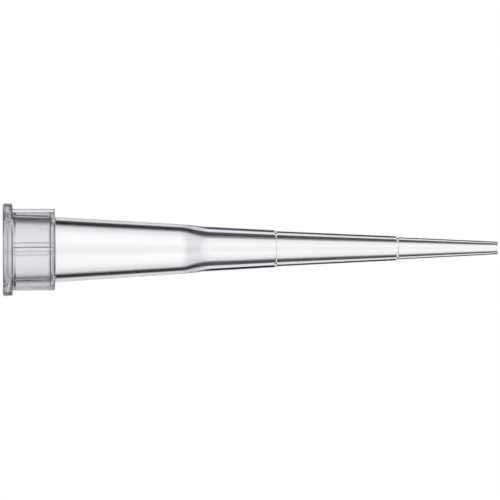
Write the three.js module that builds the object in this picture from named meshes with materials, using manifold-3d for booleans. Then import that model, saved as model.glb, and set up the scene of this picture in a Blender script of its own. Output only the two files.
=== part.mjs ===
// A micro-volume pipette tip, moulded in one piece from clear polypropylene.
// Millimetres, +Z up. The tip stands on the open face of its flange, with its axis on Z and its
// outlet at the top, so heights are measured from that face.
import * as THREE from 'three';
import { mergeVertices } from 'three/addons/utils/BufferGeometryUtils.js';
import Module from 'manifold-3d';

// Overall length, from the flange face to the outlet
const tipLength = 31.5;

// Socket that the pipette's nozzle is pushed into, up to a nearly flat ledge at its end
const socketDiameter = 3.65;
const socketDepth = 3;
const socketDraft = THREE.MathUtils.degToRad(1.6);
const ledgeWidth = 0.114;
const ledgeRise = 0.06;

// Mouth of the socket: a tapered lead-in that starts at a chamfer, and a shallow recess round it
const leadInDepth = 0.82;
const leadInChamferWidth = 0.06;
const leadInChamferHeight = 0.12;
const leadInTaper = 0.06;
const recessDepth = 0.25;
const recessStep = 0.06;
const recessTaper = 0.07;

// Hub round the socket, with its flange and ribs
const hubWall = 0.585;
const hubLength = 3.32;
const ribCount = 4;
const ribHeight = 0.2;
const ribWidth = 0.36;
const ribRoot = 0.12;
const flangeLip = 0.35;
const flangeThickness = 0.63;

// Barrel, from the hub to the neck
const barrelWall = 0.437;
const neckTopBore = 2.376;
const neckTopWall = 0.387;

// Capillary, from the neck to the outlet: its lengths are measured back from the outlet
const neckLength = 1.28;
const neckToOutlet = 18.66;
const neckEndBore = 1.747;
const neckEndWall = 0.567;
const upperRingToOutlet = 14.24;
const upperRingBore = 1.41;
const upperRingWall = 0.49;
const lowerRingToOutlet = 6.5;
const lowerRingBore = 0.9;
const lowerRingWall = 0.328;
const outletBore = 0.44;
const outletWall = 0.182;

// Graduation rings: each is a small step in the outside, at a height that holds a set volume
const ringStep = 0.06;
const ringSlope = 0.16;

// Chamfers, rounded edges and fillets
const rimChamfer = 0.08;
const hubChamfer = 0.07;
const mouthRounding = 0.06;
const ribEdgeRounding = 0.16;
const hubFillet = 0.04;
const neckRounding = 3.5;
const outletRounding = 0.02;

// Facets of a full turn, of a rounded corner and of a rib's rounded edge
const roundSegments = 64;
const roundingSteps = 4;
const ribEdgeSteps = 4;

// The most of its shorter side that a rounded corner may take
const longestRounding = 0.45;

// Sizes that follow from those above
const socketRadius = socketDiameter / 2;
const socketEndRadius = socketRadius - (socketDepth - leadInDepth) * Math.tan(socketDraft);
const hubRadius = socketRadius + hubWall;
const ribTipRadius = hubRadius + ribHeight;
const flangeRadius = ribTipRadius + flangeLip;
const barrelBoreRadius = socketEndRadius - ledgeWidth;
const leadInRadius = socketRadius + leadInChamferWidth;
const leadInEndRadius = leadInRadius + leadInTaper;
const recessRadius = leadInEndRadius + recessStep;
const neckTopHeight = tipLength - neckToOutlet - neckLength;
const neckEndHeight = tipLength - neckToOutlet;
const upperRingHeight = tipLength - upperRingToOutlet;
const lowerRingHeight = tipLength - lowerRingToOutlet;

// A corner of the section, at a radius and a height, rounded off where a rounding is given
function corner(radius, height, rounding = 0) {
  return { point: new THREE.Vector2(radius, height), rounding };
}

// The arc that rounds one corner, as points. It takes no more than its share of the shorter side.
function roundedCorner(before, here, after) {
  if (here.rounding === 0) {
    return [here.point];
  }
  const back = before.point.clone().sub(here.point);
  const ahead = after.point.clone().sub(here.point);
  const room = longestRounding * Math.min(back.length(), ahead.length());
  back.normalize();
  ahead.normalize();
  const halfAngle = Math.acos(THREE.MathUtils.clamp(back.dot(ahead), -1, 1)) / 2;
  const reach = Math.min(here.rounding / Math.tan(halfAngle), room);
  const radius = reach * Math.tan(halfAngle);
  const middle = back.clone().add(ahead).normalize();
  const centre = middle.clone().multiplyScalar(radius / Math.sin(halfAngle)).add(here.point);
  const start = back.multiplyScalar(reach).add(here.point);
  const turn = (Math.PI - 2 * halfAngle) * Math.sign(middle.cross(ahead));
  const points = [];
  for (let step = 0; step <= roundingSteps; step += 1) {
    points.push(start.clone().rotateAround(centre, (-turn * step) / roundingSteps));
  }
  return points;
}

// The closed outline through the given corners
function roundedOutline(corners) {
  const points = corners.flatMap((here, index) => {
    const before = corners.at(index - 1);
    const after = corners[(index + 1) % corners.length];
    return roundedCorner(before, here, after);
  });
  return [...points, points[0].clone()];
}

// The outside of the tip, from the flange face up to the outlet
function outsideCorners() {
  const barrelTopRadius = barrelBoreRadius + barrelWall;
  const upperRingRadius = upperRingBore / 2 + upperRingWall;
  const lowerRingRadius = lowerRingBore / 2 + lowerRingWall;
  return [
    corner(flangeRadius - rimChamfer, 0),
    corner(flangeRadius, rimChamfer),
    corner(flangeRadius, flangeThickness - rimChamfer),
    corner(flangeRadius - rimChamfer, flangeThickness),
    corner(hubRadius, flangeThickness, hubFillet),
    corner(hubRadius, hubLength - hubChamfer),
    corner(hubRadius - hubChamfer, hubLength),
    corner(barrelTopRadius, hubLength, hubFillet),
    corner(neckTopBore / 2 + neckTopWall, neckTopHeight, neckRounding),
    corner(neckEndBore / 2 + neckEndWall, neckEndHeight, neckRounding),
    corner(upperRingRadius, upperRingHeight),
    corner(upperRingRadius - ringStep, upperRingHeight + ringSlope),
    corner(lowerRingRadius, lowerRingHeight),
    corner(lowerRingRadius - ringStep, lowerRingHeight + ringSlope),
    corner(outletBore / 2 + outletWall, tipLength, outletRounding),
  ];
}

// The bore, from the outlet back down to the mouth of the socket
function boreCorners() {
  return [
    corner(outletBore / 2, tipLength, outletRounding),
    corner(lowerRingBore / 2, lowerRingHeight),
    corner(upperRingBore / 2, upperRingHeight),
    corner(neckEndBore / 2, neckEndHeight, neckRounding),
    corner(neckTopBore / 2, neckTopHeight, neckRounding),
    corner(barrelBoreRadius, socketDepth + ledgeRise),
    corner(socketEndRadius, socketDepth),
    corner(socketRadius, leadInDepth),
    corner(leadInRadius, leadInDepth - leadInChamferHeight),
    corner(leadInEndRadius, recessDepth),
    corner(recessRadius, recessDepth),
    corner(recessRadius + recessTaper, 0, mouthRounding),
  ];
}

// The tube, hub and flange, turned from one section that closes on itself
function bodyGeometry() {
  const outline = roundedOutline([...outsideCorners(), ...boreCorners()]);
  const geometry = new THREE.LatheGeometry(outline, roundSegments);
  return geometry.rotateX(Math.PI / 2);
}

// One rib, rooted in the flange and the hub's wall, and level with the end of the hub. Its long
// edges are rounded, and its ends are chamfered like the hub's.
function ribGeometry() {
  const rounding = Math.min(ribEdgeRounding, longestRounding * ribWidth) - hubChamfer;
  const rootRadius = hubRadius - ribRoot;
  const rootHeight = flangeThickness - ribRoot;
  const side = ribWidth / 2 - hubChamfer;
  const cornerX = ribTipRadius - hubChamfer - rounding;
  const cornerY = side - rounding;
  const plan = new THREE.Shape();
  plan.moveTo(rootRadius, -side);
  plan.lineTo(cornerX, -side);
  plan.absarc(cornerX, -cornerY, rounding, -Math.PI / 2, 0);
  plan.absarc(cornerX, cornerY, rounding, 0, Math.PI / 2);
  plan.lineTo(rootRadius, side);
  plan.closePath();
  const geometry = new THREE.ExtrudeGeometry(plan, {
    depth: hubLength - rootHeight - 2 * hubChamfer,
    curveSegments: ribEdgeSteps,
    bevelThickness: hubChamfer,
    bevelSize: hubChamfer,
    bevelSegments: 1,
  });
  return geometry.translate(0, 0, rootHeight + hubChamfer);
}

const wasm = await Module();
wasm.setup();

// A closed geometry as a solid that can be joined to others
function solidOf(geometry) {
  geometry.deleteAttribute('normal');
  geometry.deleteAttribute('uv');
  const merged = mergeVertices(geometry);
  return new wasm.Manifold(
    new wasm.Mesh({
      numProp: 3,
      vertProperties: new Float32Array(merged.attributes.position.array),
      triVerts: new Uint32Array(merged.index.array),
    }),
  );
}

// A solid as a geometry again
function geometryOf(solid) {
  const mesh = solid.getMesh();
  const geometry = new THREE.BufferGeometry();
  geometry.setAttribute('position', new THREE.BufferAttribute(mesh.vertProperties, mesh.numProp));
  geometry.setIndex(new THREE.BufferAttribute(mesh.triVerts, 1));
  geometry.computeVertexNormals();
  return geometry;
}

// The whole moulding: the turned body joined with its ribs
function tipGeometry() {
  let moulding = solidOf(bodyGeometry());
  for (let index = 0; index < ribCount; index += 1) {
    const rib = ribGeometry().rotateZ((2 * Math.PI * index) / ribCount);
    moulding = moulding.add(solidOf(rib));
  }
  return geometryOf(moulding);
}

// Clear polypropylene, with a faint cool cast where the wall is thick
function clearPolypropylene() {
  return new THREE.MeshStandardMaterial({
    color: 0xe9e9f0,
    roughness: 0.12,
    metalness: 0,
    transparent: true,
    opacity: 0.35,
  });
}

const pipetteTip = new THREE.Mesh(tipGeometry(), clearPolypropylene());
pipetteTip.name = 'pipette_tip';

const model = new THREE.Group();
model.name = 'pipette_tip_model';
model.add(pipetteTip);

export default model;
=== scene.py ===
"""A clear micro-volume pipette tip, standing on its flange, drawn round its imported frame.

Metres, +Z up."""
import math

import bmesh
import bpy
from mathutils import Matrix, Vector

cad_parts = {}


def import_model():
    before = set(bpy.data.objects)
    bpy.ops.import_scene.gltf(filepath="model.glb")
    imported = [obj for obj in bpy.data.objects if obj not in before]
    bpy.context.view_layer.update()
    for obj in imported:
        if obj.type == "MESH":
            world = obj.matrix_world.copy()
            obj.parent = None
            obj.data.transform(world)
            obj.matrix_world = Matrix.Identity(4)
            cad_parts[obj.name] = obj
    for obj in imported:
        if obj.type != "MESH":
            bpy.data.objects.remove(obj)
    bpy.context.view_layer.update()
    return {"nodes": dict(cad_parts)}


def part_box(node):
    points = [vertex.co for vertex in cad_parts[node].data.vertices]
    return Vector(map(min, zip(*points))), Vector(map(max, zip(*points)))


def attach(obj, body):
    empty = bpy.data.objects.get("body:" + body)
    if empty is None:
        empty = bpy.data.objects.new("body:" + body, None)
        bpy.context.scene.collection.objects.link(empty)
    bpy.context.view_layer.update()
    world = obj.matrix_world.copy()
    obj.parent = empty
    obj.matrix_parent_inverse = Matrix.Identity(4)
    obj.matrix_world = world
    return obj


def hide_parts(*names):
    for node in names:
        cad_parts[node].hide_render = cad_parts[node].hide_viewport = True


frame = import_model()

MM = 0.001
NODE = "pipette_tip"
WHITE = (1, 1, 1, 1)
lowest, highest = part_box(NODE)
TIP_LENGTH = highest.z - lowest.z
FLANGE_RADIUS = highest.x

# Reading the frame's section: shares of the flange's radius that only the flange, and only the hub
# and the flange, reach
SECTION_AZIMUTH = math.radians(45)  # a meridian midway between two ribs
SAME_AZIMUTH = math.radians(0.05)
FLANGE_SHARE = 0.9
HUB_SHARE = 0.72
TOUCH = 0.003 * MM  # the most that two radii differ by when they count as one

# The moulding
TURN_SEGMENTS = 256
HOLD = 0.03 * MM  # how near a long side's end its shading settles
SMOOTH_ANGLE = math.radians(30)
RIB_COUNT = 4
RIB_ROUNDING = 0.16 * MM
RIB_EDGE_SEGMENTS = 4
RIB_ROOT = 0.25 * MM  # how deep a rib starts in the hub's wall and the flange

# The plastic
PLASTIC_IOR = 1.49
TUBE_ROUGHNESS = 0.012
HUB_ROUGHNESS = 0.135
UNEVENNESS = 0.2  # of either roughness
HUB_CLARITY = 0.98
HUB_COLOUR = (0.945, 0.943, 0.958, 1)
FINISH_START = -0.02 * MM  # above the end of the hub, where its finish gives way to the tube's
FINISH_END = 0.05 * MM
DEPTH_COLOUR = (0.65, 0.65, 0.77, 1)
DEPTH_DENSITY = 100.0
GRAIN_SIZE = 0.12 * MM
GRAIN_RELIEF = 0.0015 * MM
FLOW_SIZE = 0.2 * MM
FLOW_STRETCH = 20
FLOW_RELIEF = 0.0006 * MM

# The floor and the lamp
FLOOR_RADIUS = 0.5
FLOOR_SEGMENTS = 96
FLOOR_ROUGHNESS = 0.9
FLOOR_TONE = 0.93
MOTTLE_SIZE = 2 * MM
MOTTLE_DEPTH = 0.01
FADE_START = 14 * MM
FADE_END = 60 * MM
LAMP_SIZE = 0.2
LAMP_POWER = 1.2
LAMP_DISTANCE = 0.35
LAMP_SIDE = (-0.45, -0.5, 1.0)

# The studio that the clear walls bend and reflect: white panels with darker, cooler gaps. A pair is
# where a change starts and where it is complete, in degrees. Azimuth is 0 straight behind the tip
# as the camera sees it, side is the same on either hand, to 180 at the camera, and spread is how
# far a direction is from the middle of a panel.
SHADE_COLOUR = (0.84, 0.84, 1, 1)
SKY_LEVEL = 0.8  # on what isn't clear
BACK_AZIMUTHS = ((-34.0, -18.0), (38.5, 20.0))
BACK_CORE_SIDE = (15.0, 3.0)
BACK_LEVEL = 0.87  # outside the core
BACK_HIGH_HEIGHT = (2.0, 8.0)
BACK_HIGH_LEVEL = 0.82
BACK_TOP_HEIGHT = (40.0, 16.0)
ROUND_SIDE = (65.0, 91.0)
ROUND_FRONT_SIDE = (147.0, 168.0)
ROUND_FRONT_LEVEL = 0.33
BAND_HEIGHTS = ((-5.0, -3.6), (2.0, 0.4))  # close to level, with a front panel and two flanks
BAND_FRONT_SIDE = (147.0, 160.0)
BAND_FLANK_SPREAD = (21.0, 11.0)
LOW_HEIGHT = (-10.5, -12.5)  # below it, four panels a quarter turn apart
LOW_SPREAD = (31.0, 21.0)
LOW_SHADE = 0.15

# The view: square to the tip's axis, with the tip lying across the frame
VIEW_AZIMUTH = math.radians(6.6)
FRAME_PER_LENGTH = 1.0101
VIEW_DISTANCE = 0.5
AXIS_OFFSET = 0.072 * MM
LENGTH_OFFSET = 0.019 * MM
AXIS_TILT = math.radians(0.205)


def section_of(node, azimuth):
    """The closed outline of a turned node at one azimuth, in order, as (radius, height) pairs."""
    mesh = frame["nodes"][node].data
    place = {}
    for vertex in mesh.vertices:
        if abs(math.atan2(vertex.co.y, vertex.co.x) - azimuth) < SAME_AZIMUTH:
            radius = math.hypot(vertex.co.x, vertex.co.y)
            place[vertex.index] = (round(radius, 7), round(vertex.co.z, 7))
    beside = {}
    for edge in mesh.edges:
        first, last = edge.vertices
        if first in place and last in place and place[first] != place[last]:
            beside.setdefault(place[first], set()).add(place[last])
            beside.setdefault(place[last], set()).add(place[first])
    outline = [max(beside)]
    outline.append(max(beside[outline[0]], key=lambda point: point[1]))
    while True:
        after = [p for p in beside[outline[-1]] if p != outline[-2]][0]
        if after == outline[0]:
            return outline
        outline.append(after)


def held(outline):
    """The outline with a point near each end of its long sides, so that corners alone shade round."""
    points = []
    for index, start in enumerate(outline):
        end = outline[(index + 1) % len(outline)]
        a, b = Vector(start), Vector(end)
        points.append(a)
        if (b - a).length > 4 * HOLD:
            step = (b - a).normalized() * HOLD
            points += [a + step, b - step]
    return points


def turned(outline, name):
    """A closed ring of quads, the outline turned about Z."""
    bm = bmesh.new()
    rings = []
    for radius, height in outline:
        ring = []
        for k in range(TURN_SEGMENTS):
            angle = 2 * math.pi * k / TURN_SEGMENTS
            ring.append(bm.verts.new((radius * math.cos(angle), radius * math.sin(angle), height)))
        rings.append(ring)
    for index, ring in enumerate(rings):
        upper = rings[(index + 1) % len(rings)]
        for k in range(TURN_SEGMENTS):
            after = (k + 1) % TURN_SEGMENTS
            bm.faces.new((ring[k], ring[after], upper[after], upper[k]))
    bmesh.ops.recalc_face_normals(bm, faces=bm.faces)
    return finished(bm, name)


def finished(bm, name):
    """A bmesh as an object in the scene."""
    mesh = bpy.data.meshes.new(name)
    bm.to_mesh(mesh)
    bm.free()
    piece = bpy.data.objects.new(name, mesh)
    bpy.context.scene.collection.objects.link(piece)
    return piece


def hub_of(outline):
    """The hub's radius, the heights that it stands between and its chamfer."""
    low = max(height for radius, height in outline if radius > FLANGE_SHARE * FLANGE_RADIUS)
    high = max(height for radius, height in outline if radius > HUB_SHARE * FLANGE_RADIUS)
    radius = max(radius for radius, height in outline if height > (low + high) / 2)
    chamfer = high - max(height for r, height in outline if r > radius - TOUCH)
    return radius, low, high, chamfer


def rib_size(hub_radius, low, high):
    """How far the frame's rib on +X reaches from the axis, and half its width, at its upper end."""
    tips = []
    for vertex in frame["nodes"][NODE].data.vertices:
        x, y, z = vertex.co
        if x > hub_radius + TOUCH and z > (low + high) / 2:
            tips.append((x, abs(y)))
    return max(x for x, _ in tips), max(y for _, y in tips)


def rib(reach, half_width, root, low, high, chamfer):
    """A rib on +X. Its long outer edges are rounded, and its upper end is chamfered."""
    bm = bmesh.new()
    bmesh.ops.create_cube(bm, size=1)
    size = Vector((reach - root, 2 * half_width, high - low))
    centre = Vector(((reach + root) / 2, 0, (low + high) / 2))
    bmesh.ops.transform(bm, matrix=Matrix.LocRotScale(centre, None, size), verts=bm.verts)
    outer = [edge for edge in bm.edges if all(v.co.x > centre.x for v in edge.verts)]
    long_edges = [edge for edge in outer if edge.calc_length() > 0.9 * size.z]
    bmesh.ops.bevel(
        bm, geom=long_edges, offset=RIB_ROUNDING, segments=RIB_EDGE_SEGMENTS, profile=0.5,
        affect="EDGES",
    )
    end = [edge for edge in bm.edges if all(v.co.z > high - chamfer / 2 for v in edge.verts)]
    end = [edge for edge in end if any(v.co.x > root + chamfer for v in edge.verts)]
    bmesh.ops.bevel(bm, geom=end, offset=chamfer, segments=1, profile=0.5, affect="EDGES")
    return bm


def ribs(reach, half_width, root, low, high, chamfer):
    """Every rib, evenly spaced about Z, as one piece."""
    bm = rib(reach, half_width, root, low, high, chamfer)
    copies = RIB_COUNT - 1
    bmesh.ops.spin(
        bm, geom=bm.verts[:] + bm.edges[:] + bm.faces[:], cent=(0, 0, 0), axis=(0, 0, 1),
        angle=2 * math.pi * copies / RIB_COUNT, steps=copies, use_duplicate=True,
    )
    return finished(bm, "ribs")


def joined(piece, tool):
    """Makes tool part of piece."""
    union = piece.modifiers.new("union", "BOOLEAN")
    union.operation = "UNION"
    union.solver = "EXACT"
    union.object = tool
    bpy.context.view_layer.objects.active = piece
    bpy.ops.object.modifier_apply(modifier=union.name)
    bpy.data.objects.remove(tool)


def moulding(outline, hub_radius, underside, hub_top, chamfer):
    """The whole tip as one fine mesh: the frame's own section turned, with its ribs."""
    piece = turned(held(outline), "tip_moulding")
    reach, half_width = rib_size(hub_radius, underside, hub_top)
    root = hub_radius - RIB_ROOT
    joined(piece, ribs(reach, half_width, root, underside - RIB_ROOT, hub_top, chamfer))
    mesh = piece.data
    mesh.shade_smooth()
    mesh.set_sharp_from_angle(angle=SMOOTH_ANGLE)
    return piece


def operation(tree, kind, *values):
    """The output of a Math node, whose inputs are numbers or other nodes' outputs."""
    node = tree.nodes.new("ShaderNodeMath")
    node.operation = kind
    for socket, value in zip(node.inputs, values):
        if isinstance(value, (int, float)):
            socket.default_value = value
        else:
            tree.links.new(value, socket)
    return node.outputs[0]


def rise(tree, value, start, end):
    """0 at start and 1 at end, smooth between, whichever of the two is larger."""
    node = tree.nodes.new("ShaderNodeMapRange")
    node.interpolation_type = "SMOOTHSTEP"
    node.inputs["From Min"].default_value = start
    node.inputs["From Max"].default_value = end
    tree.links.new(value, node.inputs["Value"])
    return node.outputs[0]


def blend(tree, factor, low, high):
    """low where factor is 0 and high where it is 1."""
    across = operation(tree, "MULTIPLY", factor, operation(tree, "SUBTRACT", high, low))
    return operation(tree, "ADD", across, low)


def blend_colour(tree, factor, low, high):
    """The colour low where factor is 0, and the colour high where it is 1."""
    node = tree.nodes.new("ShaderNodeMix")
    node.data_type = "RGBA"
    tree.links.new(factor, node.inputs[0])
    node.inputs[6].default_value = low
    node.inputs[7].default_value = high
    return node.outputs[2]


def noise(tree, coord, size, stretch=1):
    """Noise of a feature size, drawn out along Z where it is stretched."""
    place = tree.nodes.new("ShaderNodeMapping")
    place.inputs["Scale"].default_value = (1, 1, 1 / stretch)
    tree.links.new(coord.outputs["Object"], place.inputs["Vector"])
    texture = tree.nodes.new("ShaderNodeTexNoise")
    texture.inputs["Scale"].default_value = 1 / size
    tree.links.new(place.outputs["Vector"], texture.inputs["Vector"])
    return texture.outputs["Fac"]


def clear_plastic(hub_top):
    """Clear polypropylene: polished on the tube, and faintly hazy and satin on the hub and flange."""
    material = bpy.data.materials.new("clear_polypropylene")
    material.use_nodes = True
    tree = material.node_tree
    shader = tree.nodes["Principled BSDF"]
    shader.inputs["IOR"].default_value = PLASTIC_IOR
    coord = tree.nodes.new("ShaderNodeTexCoord")
    parts = tree.nodes.new("ShaderNodeSeparateXYZ")
    tree.links.new(coord.outputs["Object"], parts.inputs[0])
    satin = rise(tree, parts.outputs["Z"], hub_top + FINISH_END, hub_top + FINISH_START)
    grain = noise(tree, coord, GRAIN_SIZE)
    polish = blend(tree, satin, TUBE_ROUGHNESS, HUB_ROUGHNESS)
    patches = blend(tree, grain, 1 - UNEVENNESS, 1 + UNEVENNESS)
    tree.links.new(operation(tree, "MULTIPLY", polish, patches), shader.inputs["Roughness"])
    clarity = blend(tree, satin, 1.0, HUB_CLARITY)
    tree.links.new(clarity, shader.inputs["Transmission Weight"])
    tree.links.new(blend_colour(tree, satin, WHITE, HUB_COLOUR), shader.inputs["Base Color"])

    bump = tree.nodes.new("ShaderNodeBump")
    bump.inputs["Distance"].default_value = 1
    pits = operation(tree, "MULTIPLY", operation(tree, "MULTIPLY", grain, satin), GRAIN_RELIEF)
    flow = noise(tree, coord, FLOW_SIZE, FLOW_STRETCH)
    streaks = operation(tree, "MULTIPLY", flow, FLOW_RELIEF)
    tree.links.new(operation(tree, "ADD", pits, streaks), bump.inputs["Height"])
    tree.links.new(bump.outputs["Normal"], shader.inputs["Normal"])

    depth = tree.nodes.new("ShaderNodeVolumeAbsorption")
    depth.inputs["Color"].default_value = DEPTH_COLOUR
    depth.inputs["Density"].default_value = DEPTH_DENSITY
    tree.links.new(depth.outputs[0], tree.nodes["Material Output"].inputs["Volume"])
    return material


def floor():
    """A pale matt floor, faintly mottled, that fades to the background's white round the tip."""
    bm = bmesh.new()
    bmesh.ops.create_circle(bm, cap_ends=True, radius=FLOOR_RADIUS, segments=FLOOR_SEGMENTS)
    piece = finished(bm, "floor")
    material = bpy.data.materials.new("pale_floor")
    material.use_nodes = True
    tree = material.node_tree
    shader = tree.nodes["Principled BSDF"]
    shader.inputs["Roughness"].default_value = FLOOR_ROUGHNESS
    coord = tree.nodes.new("ShaderNodeTexCoord")
    mottle = noise(tree, coord, MOTTLE_SIZE)
    tone = blend(tree, mottle, FLOOR_TONE - MOTTLE_DEPTH, FLOOR_TONE + MOTTLE_DEPTH)
    tree.links.new(tone, shader.inputs["Base Color"])
    away = tree.nodes.new("ShaderNodeVectorMath")
    away.operation = "LENGTH"
    tree.links.new(coord.outputs["Object"], away.inputs[0])
    white = tree.nodes.new("ShaderNodeEmission")
    mix = tree.nodes.new("ShaderNodeMixShader")
    tree.links.new(rise(tree, away.outputs["Value"], FADE_START, FADE_END), mix.inputs[0])
    tree.links.new(shader.outputs[0], mix.inputs[1])
    tree.links.new(white.outputs[0], mix.inputs[2])
    tree.links.new(mix.outputs[0], tree.nodes["Material Output"].inputs["Surface"])
    piece.data.materials.append(material)
    piece.visible_transmission = False
    piece.visible_glossy = False


def lamp():
    """One soft box overhead, a little to the front and the left."""
    data = bpy.data.lights.new("soft_box", "AREA")
    data.size = LAMP_SIZE
    data.energy = LAMP_POWER
    piece = bpy.data.objects.new("soft_box", data)
    bpy.context.scene.collection.objects.link(piece)
    middle = (lowest + highest) / 2
    place = middle + LAMP_DISTANCE * Vector(LAMP_SIDE).normalized()
    turn = (place - middle).to_track_quat("Z", "Y").to_matrix().to_4x4()
    piece.matrix_world = Matrix.Translation(place) @ turn


def studio_level(tree):
    """How light the studio is in each direction, from 0 to 1."""
    coord = tree.nodes.new("ShaderNodeTexCoord")
    parts = tree.nodes.new("ShaderNodeSeparateXYZ")
    tree.links.new(coord.outputs["Generated"], parts.inputs[0])
    x, y, z = parts.outputs
    turn = operation(tree, "DEGREES", operation(tree, "ARCTAN2", x, y))
    azimuth = operation(tree, "ADD", turn, math.degrees(VIEW_AZIMUTH))
    height = operation(tree, "DEGREES", operation(tree, "ARCSINE", z))
    side = operation(tree, "PINGPONG", azimuth, 180.0)

    back = blend(tree, rise(tree, side, *BACK_CORE_SIDE), BACK_LEVEL, 1.0)
    for edge in BACK_AZIMUTHS:
        back = operation(tree, "MULTIPLY", back, rise(tree, azimuth, *edge))
    dimmed = blend(tree, rise(tree, height, *BACK_HIGH_HEIGHT), 1.0, BACK_HIGH_LEVEL)
    dimmed = operation(tree, "MULTIPLY", back, dimmed)
    dimmed = operation(tree, "MULTIPLY", dimmed, rise(tree, height, *BACK_TOP_HEIGHT))
    around = rise(tree, side, *ROUND_SIDE)
    around = blend(tree, rise(tree, side, *ROUND_FRONT_SIDE), around, ROUND_FRONT_LEVEL)
    most = operation(tree, "MAXIMUM", dimmed, around)

    front = rise(tree, side, *BAND_FRONT_SIDE)
    across = operation(tree, "ABSOLUTE", operation(tree, "SUBTRACT", side, 90.0))
    flanks = rise(tree, across, *BAND_FLANK_SPREAD)
    band = operation(tree, "MAXIMUM", operation(tree, "MAXIMUM", back, front), flanks)
    bottom, top = (rise(tree, height, *edge) for edge in BAND_HEIGHTS)
    upper = blend(tree, operation(tree, "MULTIPLY", bottom, top), most, band)

    beside = operation(tree, "PINGPONG", operation(tree, "ADD", turn, 45.0), 45.0)
    lower = blend(tree, rise(tree, beside, *LOW_SPREAD), LOW_SHADE, 1.0)
    return blend(tree, rise(tree, height, *LOW_HEIGHT), upper, lower)


def world():
    """White for the camera, plain for what isn't clear, and the studio for the clear walls."""
    scene = bpy.context.scene
    scene.world = bpy.data.worlds.new("studio")
    scene.world.use_nodes = True
    tree = scene.world.node_tree
    tree.nodes.clear()
    output = tree.nodes.new("ShaderNodeOutputWorld")
    background = tree.nodes.new("ShaderNodeBackground")
    tree.links.new(background.outputs[0], output.inputs[0])
    ray = tree.nodes.new("ShaderNodeLightPath").outputs
    clear = operation(tree, "MAXIMUM", ray["Is Glossy Ray"], ray["Is Transmission Ray"])
    plain = operation(tree, "MAXIMUM", ray["Is Camera Ray"], SKY_LEVEL)
    level = blend(tree, clear, plain, studio_level(tree))
    tree.links.new(level, background.inputs["Strength"])
    tree.links.new(blend_colour(tree, level, SHADE_COLOUR, WHITE), background.inputs["Color"])


def camera():
    """The photo's view, from the front and with +Z to the right of the frame."""
    data = bpy.data.cameras.new("camera")
    data.type = "ORTHO"
    data.ortho_scale = FRAME_PER_LENGTH * TIP_LENGTH
    piece = bpy.data.objects.new("camera", data)
    bpy.context.scene.collection.objects.link(piece)
    away = Vector((math.sin(VIEW_AZIMUTH), -math.cos(VIEW_AZIMUTH), 0))
    side = Vector((math.cos(VIEW_AZIMUTH), math.sin(VIEW_AZIMUTH), 0))
    tilt = Matrix.Rotation(-AXIS_TILT, 3, away)
    right, up = tilt @ Vector((0, 0, 1)), tilt @ -side
    centre = (lowest + highest) / 2 + side * AXIS_OFFSET - Vector((0, 0, LENGTH_OFFSET))
    turn = Matrix((right, up, away)).transposed().to_4x4()
    piece.matrix_world = Matrix.Translation(centre + away * VIEW_DISTANCE) @ turn
    bpy.context.scene.camera = piece


section = section_of(NODE, SECTION_AZIMUTH)
hub = hub_of(section)
tip = moulding(section, *hub)
tip.data.materials.append(clear_plastic(hub[2]))
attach(tip, "root")
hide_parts(NODE)
floor()
lamp()
world()
camera()
bpy.context.scene.view_settings.view_transform = "Standard"
